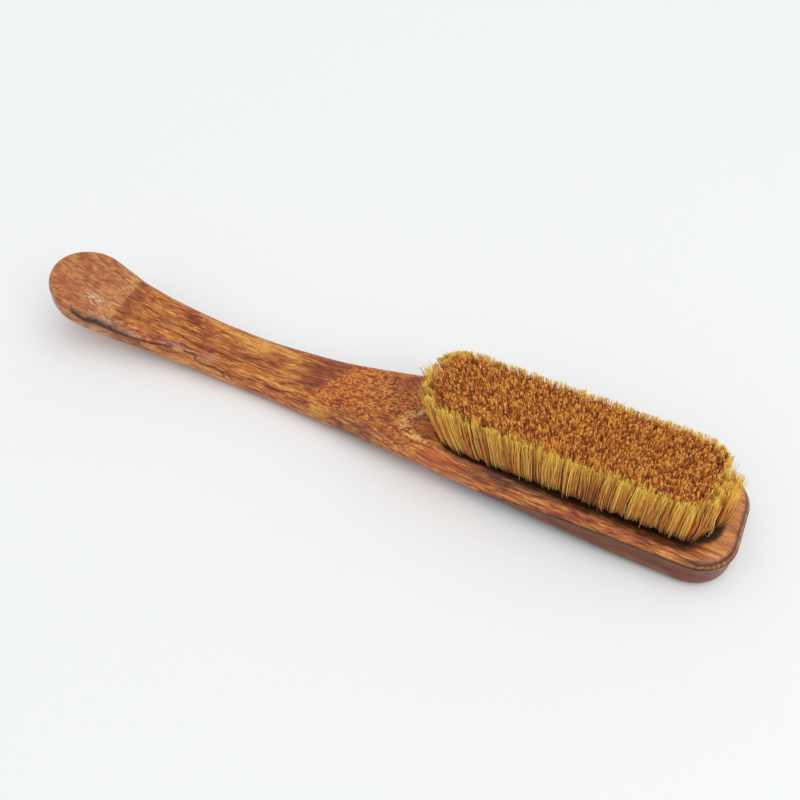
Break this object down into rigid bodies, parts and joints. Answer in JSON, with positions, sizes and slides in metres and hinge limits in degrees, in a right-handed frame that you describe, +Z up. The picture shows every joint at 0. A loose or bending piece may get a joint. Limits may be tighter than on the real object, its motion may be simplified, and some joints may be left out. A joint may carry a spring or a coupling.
{
  "type": "bristle brush",
  "caption": "Hand brush with a dense block of trimmed natural bristle set in the flat head of a curved, varnished wooden handle with a round end.",
  "frame": {"origin": "on the table under the middle of the brush's box, with the brush lying on its back", "axes": "+X along the brush towards the end of the bristle head, +Y across it, +Z up, the way the bristles point"},
  "size_m": [0.2388, 0.038, 0.0313],
  "materials": {
    "varnished_wood": "satin varnish",
    "natural_bristle": "matte natural hair"
  },
  "bodies": {
    "root": {"handle": "varnished_wood", "tuft_column_01_row_1": "natural_bristle", "tuft_column_01_row_2": "natural_bristle", "tuft_column_01_row_3": "natural_bristle", "tuft_column_01_row_4": "natural_bristle", "tuft_column_02_row_1": "natural_bristle", "tuft_column_02_row_2": "natural_bristle", "tuft_column_02_row_3": "natural_bristle", "tuft_column_02_row_4": "natural_bristle", "tuft_column_03_row_1": "natural_bristle", "tuft_column_03_row_2": "natural_bristle", "tuft_column_03_row_3": "natural_bristle", "tuft_column_03_row_4": "natural_bristle", "tuft_column_04_row_1": "natural_bristle", "tuft_column_04_row_2": "natural_bristle", "tuft_column_04_row_3": "natural_bristle", "tuft_column_04_row_4": "natural_bristle", "tuft_column_05_row_1": "natural_bristle", "tuft_column_05_row_2": "natural_bristle", "tuft_column_05_row_3": "natural_bristle", "tuft_column_05_row_4": "natural_bristle", "tuft_column_06_row_1": "natural_bristle", "tuft_column_06_row_2": "natural_bristle", "tuft_column_06_row_3": "natural_bristle", "tuft_column_06_row_4": "natural_bristle", "tuft_column_07_row_1": "natural_bristle", "tuft_column_07_row_2": "natural_bristle", "tuft_column_07_row_3": "natural_bristle", "tuft_column_07_row_4": "natural_bristle", "tuft_column_08_row_1": "natural_bristle", "tuft_column_08_row_2": "natural_bristle", "tuft_column_08_row_3": "natural_bristle", "tuft_column_08_row_4": "natural_bristle", "tuft_column_09_row_1": "natural_bristle", "tuft_column_09_row_2": "natural_bristle", "tuft_column_09_row_3": "natural_bristle", "tuft_column_09_row_4": "natural_bristle", "tuft_column_10_row_1": "natural_bristle", "tuft_column_10_row_2": "natural_bristle", "tuft_column_10_row_3": "natural_bristle", "tuft_column_10_row_4": "natural_bristle", "tuft_column_11_row_1": "natural_bristle", "tuft_column_11_row_2": "natural_bristle", "tuft_column_11_row_3": "natural_bristle", "tuft_column_11_row_4": "natural_bristle", "tuft_column_12_row_1": "natural_bristle", "tuft_column_12_row_2": "natural_bristle", "tuft_column_12_row_3": "natural_bristle", "tuft_column_12_row_4": "natural_bristle", "tuft_column_13_row_1": "natural_bristle", "tuft_column_13_row_2": "natural_bristle", "tuft_column_13_row_3": "natural_bristle", "tuft_column_13_row_4": "natural_bristle", "tuft_column_14_row_1": "natural_bristle", "tuft_column_14_row_2": "natural_bristle", "tuft_column_14_row_3": "natural_bristle", "tuft_column_14_row_4": "natural_bristle", "tuft_column_15_row_2": "natural_bristle", "tuft_column_15_row_3": "natural_bristle"}
  },
  "joints": []
}
